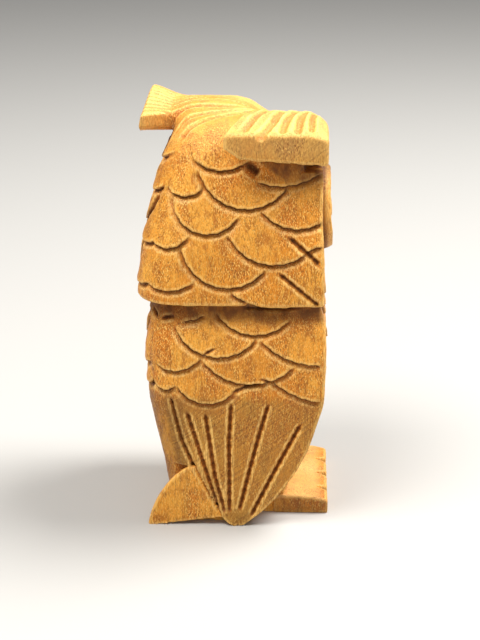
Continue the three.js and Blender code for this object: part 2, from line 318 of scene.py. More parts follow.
# A scale is cut along an arc through its start, its lowest point and its end: (across, z).
HEAD_SCALES = [
    ((7.0, 95.6), (13.0, 94.5), (23.5, 98.0)),
    ((-8.0, 98.0), (4.5, 88.6), (15.0, 94.5)),
    ((-17.0, 93.6), (-12.8, 91.7), (-6.8, 93.8)),
    ((-15.2, 91.5), (-7.1, 82.3), (2.2, 86.6)),
    ((8.0, 88.4), (16.5, 83.8), (24.6, 86.0)),
    ((-22.6, 81.0), (-17.6, 78.4), (-10.7, 81.6)),
    ((-0.3, 82.0), (10.0, 74.6), (19.8, 77.5)),
    ((19.6, 77.6), (22.0, 78.9), (24.8, 79.2)),
    ((-12.5, 78.8), (-1.0, 68.3), (9.3, 73.2)),
    ((-22.6, 68.8), (-17.3, 67.3), (-9.4, 69.6)),
    ((0.4, 67.0), (7.0, 63.6), (16.0, 62.6)),
]
RIGHT_CROWN_SCALES = [
    ((-12.0, 105.0), (-3.5, 98.3), (4.5, 100.6)),
    ((-16.4, 103.2), (-14.2, 104.5), (-12.0, 105.0)),
]
LEFT_CROWN_SCALES = [((-16.4, 103.2), (-5.5, 98.9), (5.0, 101.0))]
BODY_SCALES = [
    ((-12.7, 58.2), (-9.8, 58.5), (-6.4, 59.9)),
    ((-3.8, 60.7), (5.5, 55.0), (16.0, 59.0)),
    ((-14.6, 57.1), (-4.5, 49.0), (7.1, 53.9)),
    ((8.4, 53.4), (17.0, 48.0), (24.8, 47.0)),
    ((-20.5, 46.0), (-15.0, 44.7), (-7.5, 48.6)),
    ((-6.9, 47.5), (4.5, 41.4), (17.0, 46.4)),
    ((11.0, 42.5), (18.0, 38.2), (25.0, 36.4)),
    ((-13.7, 40.3), (-8.6, 36.1), (1.3, 39.3)),
    ((-22.6, 41.5), (-18.0, 39.0), (-14.5, 40.6)),
]
# Straight or bent gouge cuts on the two back faces: depth, half width, then their points.
BACK_CUTS = [
    (1.3, 0.9, [(15.0, 82.0), (20.0, 77.8), (24.6, 73.6)]),
    (1.2, 0.8, [(12.5, 72.6), (18.0, 68.2), (24.6, 62.8)]),
    (1.0, 0.7, [(-19.5, 58.0), (-14.6, 59.4)]),
    (0.7, 0.6, [(-7.4, 49.4), (-3.4, 51.6)]),
    (0.9, 0.8, [(0.2, 38.8), (4.4, 40.6), (9.0, 41.6)]),
    (0.6, 0.6, [(8.0, 43.2), (11.4, 42.0)]),
    (1.8, 2.2, [(3.8, 100.6), (6.0, 98.6), (7.6, 97.4)]),
    (0.5, 0.5, [(3.0, 61.9), (12.0, 61.6), (19.0, 61.9)]),
]
# Long cuts between the wing's flight feathers, from the top down.
FAN_CUTS = [
    [(-16.2, 37.6), (-12.8, 24.5), (-9.0, 15.8), (-4.6, 6.6), (-2.0, 2.6)],
    [(-11.6, 33.8), (-6.9, 18.0), (-2.8, 4.4)],
    [(-6.6, 33.4), (-3.9, 14.4), (-1.2, 3.4)],
    [(0.5, 36.4), (-0.1, 25.0), (0.0, 3.4)],
    [(10.6, 36.4), (8.0, 27.0), (5.6, 17.2), (2.6, 4.2)],
    [(19.4, 30.8), (10.5, 12.9), (5.6, 2.4)],
]
EYE_ALONG, EYE_Z, EYE_RIM = 55.0, 83.0, 12.1
EYE_RINGS = ((4.7, 0.6), (9.1, 0.6), (EYE_RIM, 0.8))  # radius and width of its dark grooves
RAYS = 24  # cuts round the eye
BREAST_ROWS = (61.0, 55.5, 50.0, 44.5, 39.0)
BREAST_SCALE = 8.8  # width of a breast scale
CHIN_SCALE = 10.9
CHIN_Z = 69.2
CHIN_LOW = 64.6
LEG_CUT_STEP = 4.4  # between the legs' long cuts
# The eye's heights over the plain face, from its middle outwards, as (radius, height).
EYE_RELIEF = [(0.0, 2.9), (2.6, 2.6), (4.0, 1.8), (4.7, 0.4), (5.4, 1.5), (8.4, 1.9), (9.1, 0.9),
              (9.8, 2.4), (10.8, 2.4), (11.5, 1.4), (12.1, -0.6), (13.0, -0.4), (15.0, 0.0)]


def along_line(p, points):
    """Each point's distance from a run of straight lines, its place along it, and its length."""
    lengths = np.hypot(*np.diff(points, axis=0).T)
    passed = np.concatenate([[0.0], np.cumsum(lengths)])
    best = np.full(len(p), 1e9)
    along = np.zeros(len(p))
    for start, end, run, before in zip(points[:-1], points[1:], lengths, passed):
        t = np.clip((p - start) @ (end - start) / run**2, 0.0, 1.0)
        distance = np.hypot(*(p - start - t[:, None] * (end - start)).T)
        along = np.where(distance < best, before + t * run, along)
        best = np.minimum(best, distance)
    return best, along, passed[-1]


def circle_through(start, low, end):
    """The centre and radius of the circle through three points."""
    (ax, ay), (bx, by), (cx, cy) = start, low, end
    d = 2.0 * (ax * (by - cy) + bx * (cy - ay) + cx * (ay - by))
    a2, b2, c2 = ax * ax + ay * ay, bx * bx + by * by, cx * cx + cy * cy
    x = (a2 * (by - cy) + b2 * (cy - ay) + c2 * (ay - by)) / d
    y = (a2 * (cx - bx) + b2 * (ax - cx) + c2 * (bx - ax)) / d
    return x, y, math.hypot(ax - x, ay - y)


class Relief:
    """Heights over the plain shape, with where the wood is stained, darkened by painted shade or
    made pale by painted highlight.
    """

    LAYERS = ("height", "dark", "stain", "burr")

    def __init__(self, across, z):
        self.across = across
        self.z = z
        for layer in self.LAYERS:
            setattr(self, layer, np.zeros(len(z)))

    def near(self, points, margin):
        low = np.min(points, axis=0) - margin
        high = np.max(points, axis=0) + margin
        inside = (self.across > low[0]) & (self.across < high[0])
        return np.nonzero(inside & (self.z > low[1]) & (self.z < high[1]))[0]

    def colour(self, at, **layers):
        for name, amount in layers.items():
            layer = getattr(self, name)
            layer[at] = np.maximum(layer[at], amount)

    def cut(self, depth, half_width, points, dark=1.0, stain=1.0):
        """One stroke of a V gouge along a run of straight lines, shallow at both ends."""
        points = np.array(points)
        at = self.near(points, half_width + 1.5)
        off, along, length = along_line(np.stack([self.across[at], self.z[at]], axis=1), points)
        ends = np.minimum(along, length - along)
        taper = 0.25 + 0.75 * smoothstep(0.0, min(2.5, 0.3 * length), ends)
        off = off + 0.07 * np.sin(2.3 * along) + 0.05 * np.sin(5.1 * along + 1.0)
        wall = np.clip(1.0 - off / (half_width * (0.6 + 0.4 * taper)), 0.0, 1.0)
        strength = smoothstep(0.2, 0.6, taper)
        self.height[at] -= depth * taper * wall * strength
        # Just outside the cut the lip is raised a little and given a painted highlight.
        lip = np.exp(-(((off - half_width - 0.2) / 0.3) ** 2))
        self.height[at] += 0.07 * lip * strength
        # painted shade in the bottom of the cut
        self.colour(at, dark=smoothstep(0.3, 0.8, wall) * strength * dark,
                    stain=smoothstep(0.0, 0.6, wall) * strength * stain, burr=0.7 * lip * strength)

    def scale(self, start, low, end, depth=0.95, step=0.4):
        """A feather: a bent stop cut, with the wood below it pared down to the cut."""
        x, y, radius = circle_through(start, low, end)
        at = self.near(np.array([start, low, end]), 5.0)
        middle = math.atan2(low[1] - y, low[0] - x)
        turn, first, last = (
            np.angle(np.exp(1j * (np.arctan2(there[1] - y, there[0] - x) - middle)))
            for there in ((self.across[at], self.z[at]), start, end)
        )
        side = 1.0 if y > low[1] else -1.0
        inner = side * (radius - np.hypot(self.across[at] - x, self.z[at] - y))
        round_arc = turn * radius
        inner = inner + 0.09 * np.sin(1.9 * round_arc) + 0.06 * np.sin(4.7 * round_arc + 1.0)
        within = np.minimum(turn - min(first, last), max(first, last) - turn) * radius
        fade = smoothstep(-0.5, 1.6, within)
        below = np.maximum(-inner, 0.0)
        feather = step * np.exp(-np.maximum(inner, 0.0) / 4.0)
        pared = -depth * np.clip(1.0 - below / 1.5, 0.0, 1.0) - step * np.exp(-below / 2.4)
        wall = smoothstep(-0.25, 0.25, inner)
        self.height[at] += fade * (pared + (feather - pared) * wall)
        # A painted highlight along the lit ridge below the cut.
        ridge = np.exp(-(((below - 1.25) / 0.45) ** 2)) * (inner < 0)
        middle_share = smoothstep(1.0, 0.5, np.abs(turn) / max(abs(first), abs(last)))
        # Painted shade along the stop cut, darkest at the arc's lowest part.
        line = smoothstep(0.5, 0.12, np.abs(inner + 0.15)) * (0.45 + 0.55 * middle_share)
        self.colour(at, dark=line * fade,
                    stain=np.exp(-below / 1.9) * (inner < 0.1) * fade, burr=0.75 * ridge * fade)


def rays(relief, depth, half_width, inner, outer, phase=0.0, swing=0.0, dark=1.0):
    """Short cuts fanning out round the eye, from one radius to another."""
    centre = np.array([EYE_ALONG, EYE_Z])
    for turn in range(RAYS):
        angle = turn / RAYS * 2 * math.pi + phase
        direction = np.array([math.cos(angle), math.sin(angle)])
        ends = inner, outer + swing * math.sin(5.0 * turn)
        relief.cut(depth, half_width, [centre + r * direction for r in ends], dark)


def eye(relief):
    """A raised ring of rays round a domed pupil, with feather cuts on the cheek round it."""
    r = np.hypot(relief.across - EYE_ALONG, relief.z - EYE_Z)
    radii, heights = zip(*EYE_RELIEF)
    inside = r < radii[-1]
    relief.height += np.where(inside, np.interp(r, radii, heights), 0.0)
    # painted shade in the eye's ring grooves
    for ring, width in EYE_RINGS:
        relief.dark = np.maximum(relief.dark, smoothstep(width, 0.1, np.abs(r - ring)))
    rays(relief, 0.35, 0.4, 5.7, 8.2, phase=0.1)
    rays(relief, 0.7, 0.6, 13.0, 17.6, swing=0.9, dark=0.7)


def front_corner(z, faces, radius):
    """Where the side pattern meets its mirror image, on the owl's front corner."""
    return FRONT_START + profile(z, faces, 3.0) - radius * (1.0 - math.sqrt(0.5))


def front_scales(relief):
    """Rows of small scales down the breast, long cuts for the legs, and the wing's edge."""
    for row, z in enumerate(BREAST_ROWS):
        corner = front_corner(z, BODY_FRONT, BODY_FRONT_RADIUS)
        last = corner - BREAST_SCALE * (1.0 - 0.5 * (row % 2))
        for place in np.arange(last, 30.0, -BREAST_SCALE):
            low = (place + 0.5 * BREAST_SCALE, z - 4.6)
            relief.scale((place + 0.1, z), low, (place + BREAST_SCALE - 0.1, z), 0.8, 0.45)
    middle = front_corner(25.0, BODY_FRONT, BODY_FRONT_RADIUS)
    for place in np.arange(middle - 0.5 * LEG_CUT_STEP, 31.0, -LEG_CUT_STEP):
        relief.cut(0.8, 0.65, [(place, 33.5 - 1.2 * math.sin(place)), (place + 0.4, 9.0)], dark=0.8)
    chin = front_corner(66.0, HEAD_FRONT, HEAD_FRONT_RADIUS)
    for count in range(1, 5):
        place = chin - CHIN_SCALE * count
        low = (place + 0.5 * CHIN_SCALE, CHIN_LOW)
        end = (place + CHIN_SCALE - 0.2, CHIN_Z)
        relief.scale((place + 0.2, CHIN_Z), low, end, 0.8, 0.4)
    heights = (62.4, 57.0, 50.0, 37.0, 20.0, 6.0)
    edge = [(FRONT_START + WING_DEPTH - profile(z, BODY_NEAR, 3.0), z) for z in heights]
    relief.cut(0.8, 0.8, edge, dark=0.8)


def side_relief(across, z, crown_scales):
    """All the carving round one half of the owl, from its back to its beak."""
    relief = Relief(across, z)
    for arc in crown_scales + HEAD_SCALES + BODY_SCALES:
        relief.scale(*arc)
    for depth, half_width, points in BACK_CUTS:
        relief.cut(depth, half_width, points)
    for points in FAN_CUTS:
        relief.cut(1.4, 0.75, points, dark=0.8)
    eye(relief)
    front_scales(relief)
    between = smoothstep(25.2, 26.0, across) * smoothstep(30.0, 27.0, across)
    relief.height *= 1.0 - between  # the pattern jumps here, from the back faces to the front
    return relief


# Cuts over the top, as seen from above: depth, half width, then points (u, v).
CROWN_CUTS = [
    (1.1, 1.5, [(-16.5, -7.0), (-12.0, -3.5), (-5.0, -1.0), (2.0, 1.5), (10.0, 5.5)]),
    (0.7, 1.2, [(-14.0, -12.0), (-8.0, -8.0), (-1.0, -4.5), (6.0, 0.5)]),
    (0.5, 0.8, [(-19.0, 1.0), (-10.0, 3.5), (-1.0, 5.5), (6.0, 7.5)]),
    (0.5, 0.8, [(-22.0, 6.0), (-14.0, 8.0), (-5.0, 9.5), (4.0, 10.5)]),
    (0.4, 0.7, [(-23.0, 11.0), (-15.0, 12.0), (-6.0, 12.5)]),
    (0.4, 0.7, [(-23.0, 16.0), (-15.0, 15.6), (-8.0, 15.0)]),
]
TUFT_CUTS = [
    (0.9, 1.3, [(3.4, -24.5), (6.0, -17.0), (8.8, -9.7), (11.0, -3.0)]),
    (1.6, 1.4, [(7.0, -26.5), (9.4, -22.8), (11.3, -18.0), (13.2, -9.0), (15.5, -1.0)]),
    (1.5, 1.3, [(13.2, -25.0), (14.4, -17.9), (16.1, -11.9), (18.4, -2.0)]),
    (1.5, 1.3, [(17.2, -25.0), (17.9, -17.8), (19.8, -5.0)]),
    (1.2, 1.1, [(20.8, -24.0), (21.2, -14.0), (22.0, -4.0)]),
]
# Feather cuts on the brow's front, in the side pattern's (across, z).
BROW_CUTS = [
    (0.8, 0.8, [(place, 108.5), (place + 2.4, 103.5), (place + 3.4, 97.0)])
    for place in (33.0, 38.5, 44.0, 49.5, 55.0, 60.5, 66.0)
]
LEFT_TUFT_CUTS = [
    (0.35, 0.6, [(-26.0, place), (-18.0, place - 0.6), (-10.0, place - 2.0)])
    for place in (3.0, 5.6, 8.0, 10.6, 13.0, 15.8, 18.2, 21.0)
]


def top_relief(u, v, cuts):
    relief = Relief(u, v)
    for depth, half_width, points in cuts:
        relief.cut(depth, half_width, points, dark=0.15, stain=0.35)
    return relief


MAP_STEP = 0.2  # spacing of the relief maps, mm
SIDE_MAP = ((-24.0, 78.0), (0.0, 112.0))
TOP_MAP = ((-27.0, 27.0), (-27.0, 27.0))


class ReliefMap:
    """A relief worked out once on a flat map, to be read anywhere on it."""

    def __init__(self, make, limits):
        self.limits = limits
        axes = [np.arange(low, high + MAP_STEP, MAP_STEP) for low, high in limits]
        across, up = np.meshgrid(*axes, indexing="ij")
        relief = make(across.ravel(), up.ravel())
        layers = [getattr(relief, layer).reshape(across.shape) for layer in Relief.LAYERS]
        self.layers = np.stack(layers, axis=-1)

    def read(self, across, up):
        places = []
        for value, (low, _), count in zip((across, up), self.limits, self.layers.shape):
            places.append(np.clip((value - low) / MAP_STEP, 0.0, count - 1.001))
        (i, j), (s, t) = zip(*((p.astype(int), (p % 1.0)[:, None]) for p in places))
        low = self.layers[i, j] * (1.0 - t) + self.layers[i, j + 1] * t
        high = self.layers[i + 1, j] * (1.0 - t) + self.layers[i + 1, j + 1] * t
        return low * (1.0 - s) + high * s


RELIEF_MAPS = {
    "right": ReliefMap(lambda t, z: side_relief(t, z, RIGHT_CROWN_SCALES), SIDE_MAP),
    "left": ReliefMap(lambda t, z: side_relief(t, z, LEFT_CROWN_SCALES), SIDE_MAP),
    "brow": ReliefMap(lambda t, z: top_relief(t, z, BROW_CUTS), SIDE_MAP),
    "crown": ReliefMap(lambda u, v: top_relief(u, v, CROWN_CUTS), TOP_MAP),
    "right_tuft": ReliefMap(lambda u, v: top_relief(u, v, TUFT_CUTS), TOP_MAP),
    "left_tuft": ReliefMap(lambda u, v: top_relief(u, v, LEFT_TUFT_CUTS), TOP_MAP),
}


def unrolled(u, v, z):
    """Where a point lies round the owl's right half: -22.6 at the back to 75 at the beak."""
    a, b = np.maximum(u, v), np.minimum(u, v)
    back = np.where(z > NECK_Z, profile(z, HEAD_BACK, 4.0), profile(z, BODY_NEAR, 3.0))
    centre = back - BACK_RADIUS
    turn = np.arctan2(-(a + centre), -(b + centre))
    round_back = (a < -centre) & (b < -centre)
    on_back = np.where(round_back, -centre - BACK_RADIUS * turn, a)
    on_front = (a - 24.0) > (-b - back)
    return np.where(on_front, FRONT_START + b, on_back)


def pattern_place(u, v, z):
    """A point's place on the side pattern, which wanders a little on the owl's left."""
    left = smoothstep(0.0, 8.0, v - u)
    points = np.stack([u, v, z], axis=-1)
    across, up = (reach * left * waves(points, size, seed)
                  for seed, (size, reach) in enumerate(WANDER, start=SEED + 3))
    return unrolled(u, v, z) + across, z + up


def relief_at(u, v, z, owner):
    """The relief's layers at points, given which plain shape each one is on."""
    place = pattern_place(u, v, z)
    right, left = (RELIEF_MAPS[side].read(*place) for side in ("right", "left"))
    side = np.where((v > u)[:, None], left, right)
    crown = RELIEF_MAPS["crown"].read(u, v)
    over = smoothstep(99.0, 102.5, z) * smoothstep(1.5, 3.5, STICK + np.minimum(u, v))
    mixed = side + (crown - side) * over[:, None]
    plain = np.isin(owner, ("head", "crown", "body"))
    result = np.where(plain[:, None], mixed, 0.0)
    for name, top in (("right_tuft", right_tuft_top), ("left_tuft", left_tuft_top)):
        at = np.nonzero(owner == name)[0]
        sunk = top(u[at], v[at]) - z[at]
        upper = smoothstep(1.8, 0.9, sunk)
        front = smoothstep(1.2, 0.6, 25.3 - np.maximum(u[at], v[at])) * smoothstep(0.3, 1.2, sunk)
        brow = RELIEF_MAPS["brow"].read(*(axis[at] for axis in place))
        result[at] = RELIEF_MAPS[name].read(u[at], v[at]) * upper[:, None] + brow * front[:, None]
    return result


def painted_shade_at(u, v, z, owner):
    """Painted shade: where the wood is made dark, as under the rim and the tufts."""
    body = owner == "body"
    head = np.isin(owner, ("head", "crown"))
    under_rim = smoothstep(56.5, 61.0, z)
    # painted shade, darker towards the bottom of the back
    low_back = 0.5 * smoothstep(41.0, 35.0, z) * smoothstep(-9.0, -14.0, unrolled(u, v, z))
    under_tuft = 0.0
    right, left = (u, v, RIGHT_TUFT_START, 0.0), (v, u, LEFT_TUFT_START, LEFT_TUFT_LIFT)
    for a, b, start, lift in (right, left):
        below = tuft_bottom(a, b, lift) - z
        sheltered = smoothstep(0.5, -1.5, brow_line(a, b, tuft_start(z, start)))
        covered = smoothstep(9.5, 2.5, below) * smoothstep(-1.0, 0.5, below)
        under_tuft = np.maximum(under_tuft, covered * sheltered)
    # painted shade on the feet's near ends
    foot_end = 0.5 * smoothstep(-15.4, -16.0, np.minimum(u, v)) * np.isin(owner, FEET)
    return greatest(under_rim * body, low_back * body, under_tuft * head, foot_end)


def top_highlight_and_wear_at(z, owner):
    """Painted highlight on the tops, with some wear: over the crown, the tufts and the feet."""
    high = smoothstep(99.0, 106.0, z) * np.where(np.isin(owner, TUFTS), 0.32, 0.12)
    return high + 0.6 * np.isin(owner, FEET) * smoothstep(4.0, 4.8, z)


def sawn_at(u, v, z, owner):
    """Where the stick's own sawn faces are left: tuft ends, tail side and the wing's fan."""
    # on the low wing's fan the sawn colour is also darkened, as painted shade
    low_wing = smoothstep(38.5, 36.0, z) * (owner == "body")
    tufts = 0.55 * np.isin(owner, TUFTS)
    face = smoothstep(1.0, 0.4, STICK + np.minimum(u, v))
    side = np.maximum(low_wing * smoothstep(3.0, 1.5, STICK + v), tufts * face)
    return np.maximum(side, 0.8 * low_wing * smoothstep(6.0, 3.0, STICK + u))


# ---- parting the block ----

# The carved line between head and crown, in the side pattern's (across, z).
RIGHT_CROWN_EDGE = [(-24, 103), (-16.4, 103.2), (-14.2, 104.5), (-12, 105), (-9.5, 101.2),
                    (-7, 99.2), (-3.5, 98.3), (1, 99), (4.5, 100.6), (8, 101.2), (80, 101.2)]
LEFT_CROWN_EDGE = [(-24, 103.2), (-16.4, 103.2), (-12, 101), (-5.5, 98.9), (0, 99.4),
                   (5, 101), (80, 101.2)]


def tuft_region(u, v, z, start, lift):
    return np.maximum(brow_line(u, v, tuft_start(z, start)), tuft_bottom(u, v, lift) - z - 0.2)


def right_tuft_region(u, v, z):
    return tuft_region(u, v, z, RIGHT_TUFT_START, 0.0)


def left_tuft_region(u, v, z):
    return tuft_region(v, u, z, LEFT_TUFT_START, LEFT_TUFT_LIFT)


def crown_region(u, v, z):
    across, up = pattern_place(u, v, z)
    right, left = (np.interp(across, *zip(*edge)) for edge in (RIGHT_CROWN_EDGE, LEFT_CROWN_EDGE))
    return np.where(v > u, left, right) - up


def wing_region(u, v, z, faces):
    across, up = pattern_place(u, v, z)
    surface = profile(z, faces, 3.0)
    behind_edge = profile(up, WING_EDGE, 0.5) - across
    return greatest(behind_edge, surface - WING_DEPTH + v, v - u, z - NECK_Z)


def eye_region(u, v, z):
    return np.maximum(np.hypot(v - (EYE_ALONG - FRONT_START), z - EYE_Z) - EYE_RIM, 21.0 - u)


def beak_region(u, v, z):
    return np.maximum(beak_field(u, v, z) - 0.4, 23.0 - (u + v) / math.sqrt(2.0))


def foot_region(u, v, z):
    return greatest(FOOT_INNER + 0.05 - u, z - FOOT_HEIGHT - 0.5, v - u)


# Node, its region and its slot, in the order in which they are taken from the block.
PIECES = [
    ("right_eye", eye_region, "golden_wood"),
    ("left_eye", lambda u, v, z: eye_region(v, u, z), "golden_wood"),
    ("beak", beak_region, "tawny_wood"),
    ("right_ear_tuft", right_tuft_region, "pale_wood"),
    ("left_ear_tuft", left_tuft_region, "pale_wood"),
    ("crown", crown_region, "pale_wood"),
    ("head", lambda u, v, z: NECK_Z - z, "golden_wood"),
    ("right_foot", foot_region, "pale_wood"),
    ("left_foot", lambda u, v, z: foot_region(v, u, z), "pale_wood"),
    ("right_wing", lambda u, v, z: wing_region(u, v, z, BODY_NEAR), "golden_wood"),
    ("left_wing", lambda u, v, z: wing_region(v, u, z, BODY_LEFT), "golden_wood"),
    ("tail", lambda u, v, z: tail_field(u, v, z) - 0.4, "tawny_wood"),
    ("body", lambda u, v, z: z - NECK_Z, "tawny_wood"),
]


def owners(fields):
    """The name of the shape that each point belongs to: the one with the least field."""
    names = np.array(list(fields))
    return names[np.argmin(np.stack(np.broadcast_arrays(*fields.values())), axis=0)]


def carved_block():
    """The whole owl's field on the grid, with its relief, and the grid's axes."""
    across = np.arange(-27.5, 28.0, GRID, dtype=np.float32)
    up = np.arange(-1.4, 115.5, GRID, dtype=np.float32)
    u, v, z = across[:, None, None], across[None, :, None], up[None, None, :]
    fields = shape_fields(u, v, z)
    block = functools.reduce(np.minimum, fields.values())
    at = np.nonzero(np.abs(block) < BAND)
    points = (across[at[0]], across[at[1]], up[at[2]])
    owner = owners({name: field[at] for name, field in fields.items()})
    height = relief_at(*points, owner)[:, 0]
    rough = 0.0
    for seed, (size, reach) in enumerate((HILLS, CHIPS), start=SEED):
        rough = rough + waves(np.stack(points, axis=-1), size, seed) * reach
    sawn = np.isin(owner, TUFTS + ("tail",))
    block[at] -= height + rough * np.where(sawn, 0.4, 1.0)
    ground = -np.broadcast_to(z, block.shape)
    return np.maximum(block, ground).astype(np.float32), across, up


def to_world(points):
    u, v, z = points.T
    half = math.sqrt(0.5)
    return np.stack([(v - u) * half, -(u + v) * half, z], axis=-1) * MM


def bending(block):
    """How sharply the surface stands out (positive) or in, about -1 to 1, on the grid."""
    soft = block
    for _ in range(round(2.0 * (RIDGE_WIDTH / GRID) ** 2)):
        for axis in range(3):
            soft = 0.5 * soft + 0.25 * (np.roll(soft, 1, axis) + np.roll(soft, -1, axis))
    return (soft - block) / RIDGE_HEIGHT


class Sampler:
    """Reads a grid between its points."""

    def __init__(self, values, across, up):
        self.values = values
        self.origin = np.array([across[0], across[0], up[0]])

    def read(self, points):
        place = np.clip((points - self.origin) / GRID, 0.0, np.array(self.values.shape) - 1.001)
        cell = place.astype(int)
        t = place - cell
        total = np.zeros(len(points))
        for corner in np.ndindex(2, 2, 2):
            weight = np.prod(np.where(np.array(corner) == 1, t, 1.0 - t), axis=1)
            total += weight * self.values[tuple((cell + corner).T)]
        return total


def slope(field, points, step):
    """A field's value and gradient at points."""
    moves = np.eye(3) * step
    change = [field(points + move) - field(points - move) for move in moves]
    return field(points), np.stack(change, axis=-1) / (2.0 * step)


def sharpened(points, surface, seam):
    """Vertices by the edge between the surface and a seam, moved right onto that edge."""
    near = np.nonzero((np.abs(surface(points)) < GRID) & (np.abs(seam(points)) < GRID))[0]
    for _ in range(2):
        at = points[near]
        (f, df), (g, dg) = slope(surface, at, 0.5 * GRID), slope(seam, at, 0.05)
        ff, gg, fg = ((a * b).sum(axis=1) for a, b in ((df, df), (dg, dg), (df, dg)))
        spread = ff * gg - fg * fg + 0.05
        by_f, by_g = (f * gg - g * fg) / spread, (g * ff - f * fg) / spread
        move = -by_f[:, None] * df - by_g[:, None] * dg
        length = np.linalg.norm(move, axis=1)[:, None]
        points[near] = at + move * np.minimum(1.0, 0.8 * GRID / np.maximum(length, 1e-6))
    return points


def mesh_of(name, points, quads, triangles, layers):
    """A mesh object from arrays of points and faces, with its layers for the material."""
    mesh = bpy.data.meshes.new(name)
    mesh.vertices.add(len(points))
    mesh.vertices.foreach_set("co", to_world(points).astype(np.float32).ravel())
    corners = np.concatenate([quads.ravel(), triangles.ravel()])
    triangle_starts = len(quads) * 4 + np.arange(len(triangles)) * 3
    starts = np.concatenate([np.arange(len(quads)) * 4, triangle_starts])
    mesh.loops.add(len(corners))
    mesh.loops.foreach_set("vertex_index", corners.astype(np.int32))
    mesh.polygons.add(len(starts))
    mesh.polygons.foreach_set("loop_start", starts.astype(np.int32))
    mesh.update(calc_edges=True)
    mesh.validate()
    mesh.shade_smooth()
    mesh.set_sharp_from_angle(angle=math.radians(SHARP_ANGLE))
    for layer, values in layers.items():
        attribute = mesh.attributes.new(layer, "FLOAT", "POINT")
        attribute.data.foreach_set("value", values.astype(np.float32))
    piece = bpy.data.objects.new(name, mesh)
    bpy.context.scene.collection.objects.link(piece)
    return piece


def window_round(samples):
    """The part of the grid round some of its samples, with a margin."""
    return tuple(slice(max(int(axis.min()) - 2, 0), int(axis.max()) + 3) for axis in samples)


def surface_of(field, window, across, up):
    """Points, quads and triangles of the surface where a field is zero."""
    grid = openvdb.FloatGrid(OUTSIDE)
    grid.copyFromArray(np.ascontiguousarray(field[window]))
    grid.transform = openvdb.createLinearTransform(voxelSize=GRID)
    points, triangles, quads = grid.convertToPolygons(isovalue=0.0, adaptivity=0.0)
    corner = [axis[part.start] for axis, part in zip((across, across, up), window)]
    return points + np.array(corner), quads[:, ::-1], triangles[:, ::-1]


def seam_of(regions):
    """The edge of the last region, less what the ones before it have taken."""
    def seam(points):
        earlier = (-region(*points.T) for region in regions[:-1])
        return greatest(regions[-1](*points.T), *earlier)

    return seam


def layers_at(points, bend):
    """What the material has to know about each point of the surface."""
    u, v, z = points.T
    owner = owners(shape_fields(u, v, z))
    layers = dict(zip(Relief.LAYERS[1:], relief_at(u, v, z, owner).T[1:]))
    layers["sawn"] = sawn_at(u, v, z, owner)
    # painted shade under the rim and the tufts, low on the back and on the feet's near ends
    layers["grime"] = painted_shade_at(u, v, z, owner)
    # pale: painted highlight, with some wear, on the tops
    layers["pale"] = top_highlight_and_wear_at(z, owner)
    layers["ridge"] = np.clip(bend.read(points), -1.0, 1.0)
    return layers


def part_block(block, across, up):
    """One closed mesh for each node, cut from the block along the regions' edges."""
    surface = Sampler(block, across, up)
    bend = Sampler(bending(block), across, up)
    rest = block.copy()
    pieces = {}
    regions = []
    for name, region_field, _ in PIECES:
        inside = np.nonzero(rest < 2.0 * GRID)
        region = region_field(across[inside[0]], across[inside[1]], up[inside[2]])
        field = np.full(block.shape, OUTSIDE, dtype=np.float32)
        field[inside] = np.maximum(rest[inside], region)
        window = window_round([axis[region < 2.0 * GRID] for axis in inside])
        points, quads, triangles = surface_of(field, window, across, up)
        regions.append(region_field)
        points = sharpened(points, surface.read, seam_of(regions))
        points[:, 2] = np.maximum(points[:, 2], 0.0)
        layers = layers_at(points, bend)
        pieces[name] = mesh_of(name + "_carved", points, quads, triangles, layers)
        rest[inside] = np.maximum(rest[inside], -region)
    return pieces


# ---- looks ----

SAW_DIRECTION = (0.42, 0.42, 0.8)  # square to the slanting saw marks on the near face
SAW_MARKS = 1300.0  # saw marks for each metre
BUMP_HEIGHT = 0.00025  # metres

# Noise in the timber: waves for each metre across and along the grain, then its detail,
# roughness and distortion.
GRAIN = {
    "clouds": (50.0, 38.0, 3.0),
    "patches": (150.0, 80.0, 2.0),
    "mottle": (420.0, 230.0, 2.0, 0.6),
    "streaks": (900.0, 42.0, 4.0, 0.65, 0.3),
    "fibres": (2600.0, 260.0, 2.0, 0.7),
    "flecks": (3800.0, 1600.0, 1.0, 0.6),
    "pores": (4200.0, 1100.0, 1.0, 0.6),
    "tool": (700.0, 350.0, 1.0),
}
LAYERS = ("dark", "stain", "burr", "sawn", "ridge", "grime", "pale")  # read from the mesh


